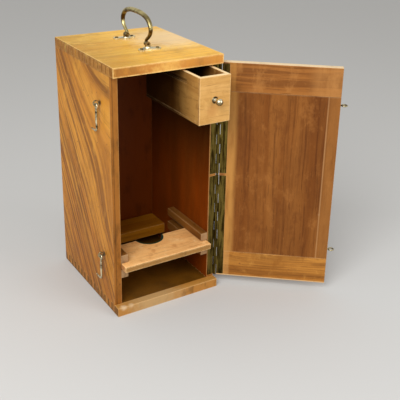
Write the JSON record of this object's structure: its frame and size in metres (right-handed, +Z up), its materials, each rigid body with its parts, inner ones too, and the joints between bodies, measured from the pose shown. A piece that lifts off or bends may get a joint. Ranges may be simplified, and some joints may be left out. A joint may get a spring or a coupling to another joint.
{
  "type": "microscope case",
  "caption": "Upright wooden microscope case with a side-hinged clamped door, hanging knob drawer, notched sliding cradle board, bail carrying handle and cabin hooks.",
  "frame": {"origin": "centre of the flat underside of the base", "axes": "+Z up, the door opening faces -Y, the hinges are on +X"},
  "size_m": [0.2912, 0.2662, 0.3755],
  "materials": {
    "carcass_wood": "waxed mahogany, worn",
    "top_wood": "golden polished mahogany",
    "inner_wood": "darkened mahogany",
    "door_wood": "reddish mahogany",
    "clamp_wood": "mahogany, grain across",
    "drawer_wood": "light wood",
    "cradle_wood": "light plain wood",
    "baize": "green baize",
    "brass": "aged brass"
  },
  "bodies": {
    "case": {"left_side": "carcass_wood", "right_side": "carcass_wood", "top_board": "top_wood", "bottom_board": "carcass_wood", "back_board": "inner_wood", "rear_block": "inner_wood", "upper_runner_left": "inner_wood", "upper_runner_right": "inner_wood", "lower_runner_left": "inner_wood", "lower_runner_right": "inner_wood", "drawer_hanger": "inner_wood", "drawer_rail": "inner_wood", "handle_plate_front": "brass", "handle_plate_rear": "brass", "hook_eye_upper": "brass", "hook_eye_lower": "brass", "case_leaf_upper": "brass", "case_leaf_lower": "brass", "hinge_pin_upper": "brass", "hinge_pin_lower": "brass", "case_screws": "brass", "back_stud": "brass"},
    "door": {"door_panel": "door_wood", "door_clamp_top": "clamp_wood", "door_clamp_bottom": "clamp_wood", "door_leaf_upper": "brass", "door_leaf_lower": "brass", "door_screws": "brass", "door_eye_upper": "brass", "door_eye_lower": "brass"},
    "drawer": {"drawer_front": "drawer_wood", "drawer_side_left": "drawer_wood", "drawer_side_right": "drawer_wood", "drawer_back": "drawer_wood", "drawer_bottom": "drawer_wood", "drawer_knob": "brass", "knob_rose": "brass"},
    "cradle": {"cradle_board": "cradle_wood", "cradle_baize": "baize"},
    "handle": {"handle_bail": "brass", "handle_foot_front": "brass", "handle_foot_rear": "brass"},
    "upper_hook": {"hook_upper": "brass"},
    "lower_hook": {"hook_lower": "brass"}
  },
  "joints": [
    {"name": "door_swing", "type": "hinge", "parent": "case", "child": "door", "pos_m": [0.0773, -0.077, 0.165], "axis": [0, 0, 1], "range_deg": [-141, 39]},
    {"name": "drawer_slide", "type": "slide", "parent": "case", "child": "drawer", "axis": [0, -1, 0], "range_m": [-0.06401, 0.01771]},
    {"name": "cradle_slide", "type": "slide", "parent": "case", "child": "cradle", "axis": [0, -1, 0], "range_m": [-0.01321, 0.00366]},
    {"name": "handle_swing", "type": "hinge", "parent": "case", "child": "handle", "pos_m": [0.0028, 0, 0.3365], "axis": [0, 1, 0], "range_deg": [-88, 88]},
    {"name": "upper_hook_swing", "type": "hinge", "parent": "case", "child": "upper_hook", "pos_m": [-0.08, -0.0498, 0.276], "axis": [1, 0, 0], "range_deg": [-90, 90]},
    {"name": "lower_hook_swing", "type": "hinge", "parent": "case", "child": "lower_hook", "pos_m": [-0.08, -0.0498, 0.0715], "axis": [1, 0, 0], "range_deg": [-90, 90]}
  ],
  "couplings": [
    {"joint": "drawer_slide", "follows": "door_swing", "m_per_rad": 0.026007},
    {"joint": "cradle_slide", "follows": "door_swing", "m_per_rad": 0.005364}
  ]
}
